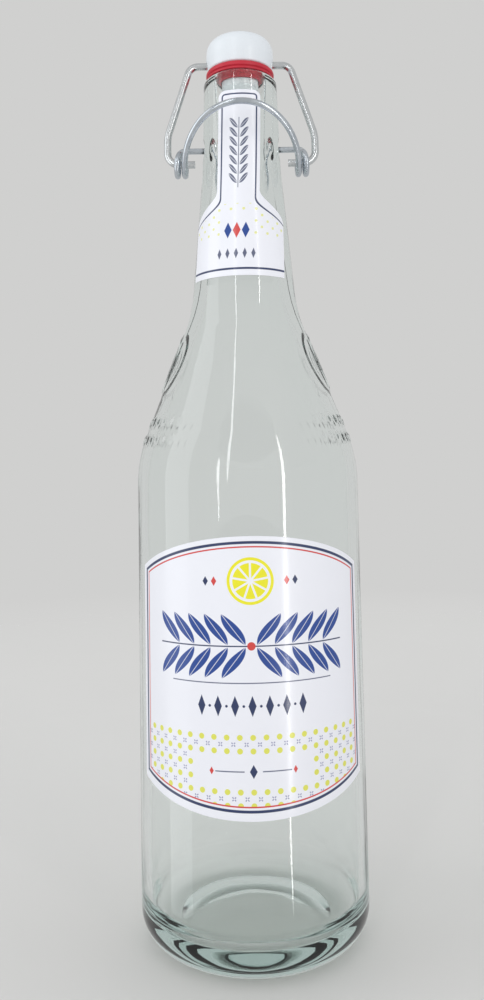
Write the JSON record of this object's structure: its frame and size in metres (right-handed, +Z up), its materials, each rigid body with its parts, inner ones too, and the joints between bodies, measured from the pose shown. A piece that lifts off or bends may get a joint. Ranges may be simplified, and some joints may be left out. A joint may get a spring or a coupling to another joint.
{
  "type": "swing-top lemonade bottle",
  "caption": "Clear glass lemonade bottle with a swing-top closure: white stopper on a rubber ring, wire bail and thumb lever, and printed paper labels on neck and body.",
  "frame": {"origin": "middle of the base, on the plane of the standing ring", "axes": "+Z up along the bottle's axis, -Y towards the front with the labels and the thumb lever, X along the closure's pivots"},
  "size_m": [0.0786, 0.079, 0.319],
  "materials": {
    "glass": "clear blown glass, faintly green where it is thick",
    "stopper_white": "white moulded, satin gloss",
    "ring_red": "smooth moulded rubber",
    "bail_zinc": "galvanised wire, bright",
    "lever_zinc": "galvanised wire, bright",
    "body_paper": "coated white label paper with printed borders and ornaments",
    "neck_paper": "coated white label paper with printed borders"
  },
  "bodies": {
    "bottle": {"glass_bottle": "glass", "body_label": "body_paper", "neck_label": "neck_paper"},
    "lever": {"lever_wire": "lever_zinc"},
    "bail": {"bail_wire": "bail_zinc"},
    "stopper": {"stopper": "stopper_white", "gasket": "ring_red"}
  },
  "joints": [
    {"name": "lever_swing", "type": "hinge", "parent": "bottle", "child": "lever", "pos_m": [0, 0, 0.2766], "axis": [-1, 0, 0], "range_deg": [-55, 33], "deforming": ["gasket"]},
    {"name": "bail_swing", "type": "hinge", "parent": "lever", "child": "bail", "pos_m": [0, -0.00494, 0.2698], "axis": [-1, 0, 0], "range_deg": [-28, 45]},
    {"name": "stopper_tilt", "type": "hinge", "parent": "bail", "child": "stopper", "pos_m": [0, 0, 0.309], "axis": [-1, 0, 0], "range_deg": [-8, 12]}
  ],
  "couplings": [
    {"joint": "bail_swing", "follows": "lever_swing", "ratio": -0.795},
    {"joint": "stopper_tilt", "follows": "lever_swing", "ratio": -0.205}
  ]
}
